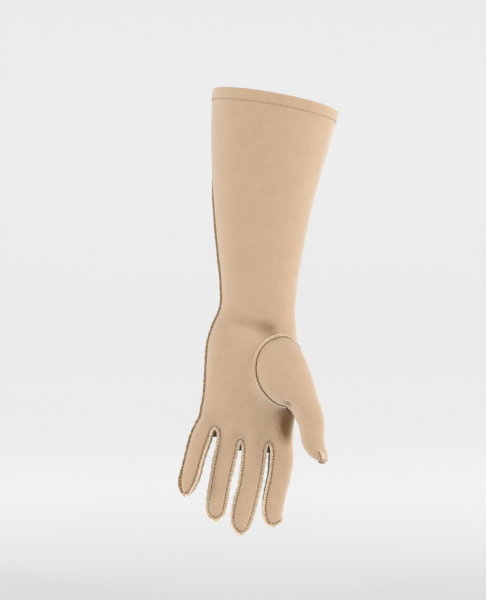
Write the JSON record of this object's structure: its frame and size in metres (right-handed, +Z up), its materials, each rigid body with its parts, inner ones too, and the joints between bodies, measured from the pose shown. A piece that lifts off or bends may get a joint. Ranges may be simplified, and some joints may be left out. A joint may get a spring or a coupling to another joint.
{
  "type": "compression glove",
  "caption": "Beige left-hand compression glove in its worn shape, with full fingers, set-in thumb, outside seams and a long forearm sleeve with a folded hem.",
  "frame": {"origin": "middle of the arm opening, in the plane of the hem's edge", "axes": "+Z up the forearm, fingers towards -Z, palm towards -Y, thumb towards +X"},
  "size_m": [0.1423, 0.0794, 0.4008],
  "materials": {
    "cloth": "fine matt elastic knit with a soft sheen",
    "seam": "overlocked thread over a raw cloth edge"
  },
  "bodies": {
    "root": {"sleeve": "cloth", "hand": "cloth", "little_finger": "cloth", "ring_finger": "cloth", "middle_finger": "cloth", "index_finger": "cloth", "fourchette_little_ring": "cloth", "fourchette_ring_middle": "cloth", "fourchette_middle_index": "cloth", "thumb_base": "cloth", "thumb": "cloth", "hem": "cloth", "palm_seam_little_ring": "seam", "palm_seam_ring_middle": "seam", "palm_seam_middle_index": "seam", "back_seam_little_ring": "seam", "back_seam_ring_middle": "seam", "back_seam_middle_index": "seam", "side_seam": "seam", "thumb_seam": "seam"}
  },
  "joints": []
}
